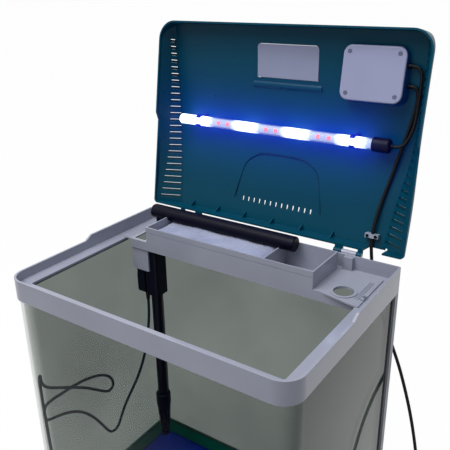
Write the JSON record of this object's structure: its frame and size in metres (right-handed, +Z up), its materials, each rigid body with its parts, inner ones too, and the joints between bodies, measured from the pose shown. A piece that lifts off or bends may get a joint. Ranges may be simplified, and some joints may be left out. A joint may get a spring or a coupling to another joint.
{
  "type": "panoramic aquarium",
  "caption": "Glass tank with a bent front pane, open hinged lid with a lamp, feeding hatch and power box, and a hanging filter tray with pump and spray bar.",
  "frame": {"origin": "middle of the base tray's footprint, on the surface it stands on", "axes": "+X to the right seen from the front, +Y to the rear, +Z up; the lid's hinge runs along X"},
  "size_m": [0.6669, 0.415, 0.773],
  "materials": {
    "base_green": "satin green plastic",
    "floor_blue": "dark blue plastic sheet",
    "tank_glass": "clear float glass, faint green edge",
    "silicone": "translucent blue-grey silicone",
    "trim_grey": "light grey plastic",
    "frame_white": "white plastic, satin",
    "steel_pin": "plain steel",
    "lid_teal": "translucent teal plastic",
    "hatch_white": "white plastic, satin",
    "lamp_clear": "clear acrylic tube",
    "black_plastic": "black moulded plastic",
    "board_white": "white circuit strip",
    "led_white": "lit diode, cool white",
    "led_red": "lit diode, red",
    "clip_grey": "grey plastic",
    "box_white": "white plastic, satin",
    "filter_wool": "white polyester wool",
    "rotor_blue": "moulded plastic over a magnet",
    "ceramic_shaft": "ceramic rod",
    "cord_rubber": "black cord sheath",
    "prong_metal": "plated brass"
  },
  "bodies": {
    "tank": {"base_tray": "base_green", "floor_mat": "floor_blue", "bottom_glass": "tank_glass", "bent_glass": "tank_glass", "back_glass": "tank_glass", "glass_seams": "silicone", "corner_trims": "trim_grey", "top_frame": "frame_white", "hinge_pins": "steel_pin", "filter_tray": "frame_white", "tray_catch": "frame_white", "filter_wool": "filter_wool", "spray_bar": "black_plastic", "bar_plug": "black_plastic", "bar_elbow": "black_plastic", "riser_pipe": "black_plastic", "pump_motor": "black_plastic", "pump_housing": "black_plastic", "impeller_shaft": "ceramic_shaft", "pump_hanger": "frame_white", "intake_pipe": "black_plastic", "pipe_collar": "black_plastic", "strainer": "black_plastic", "pump_gland": "cord_rubber", "mains_cord": "cord_rubber", "mains_coil": "cord_rubber", "mains_tail": "cord_rubber", "pump_cord": "cord_rubber", "mains_plug": "cord_rubber", "pump_plug": "cord_rubber", "mains_prongs": "prong_metal", "pump_prongs": "prong_metal"},
    "lid": {"lid_shell": "lid_teal", "lamp_clips": "clip_grey", "power_box": "box_white", "power_box_cover": "box_white", "box_screws": "steel_pin", "box_glands": "black_plastic", "cable_clamp": "clip_grey", "clamp_screws": "steel_pin", "lamp_lead": "cord_rubber", "supply_lead": "cord_rubber", "lead_flex": "cord_rubber"},
    "hatch": {"feeding_hatch": "hatch_white", "hatch_pin": "steel_pin"},
    "lamp": {"lamp_tube": "lamp_clear", "lamp_end_cap": "black_plastic", "led_strip": "board_white", "leds_white": "led_white", "leds_red": "led_red"},
    "rotor": {"impeller": "rotor_blue"}
  },
  "joints": [
    {"name": "lid_hinge", "type": "hinge", "parent": "tank", "child": "lid", "pos_m": [0, 0.1515, 0.4782], "axis": [1, 0, 0], "range_deg": [0, 99.31], "deforming": ["lead_flex"]},
    {"name": "hatch_hinge", "type": "hinge", "parent": "lid", "child": "hatch", "pos_m": [0, 0.22091, 0.68449], "axis": [-1, 0, 0], "range_deg": [0, 100]},
    {"name": "lamp_turn", "type": "hinge", "parent": "lid", "child": "lamp", "pos_m": [0, 0.19993, 0.62155], "axis": [1, 0, 0], "range_deg": [-45, 45]},
    {"name": "impeller_spin", "type": "hinge", "parent": "tank", "child": "rotor", "pos_m": [-0.158, 0.077, 0.386], "axis": [1, 0, 0], "continuous": true}
  ]
}
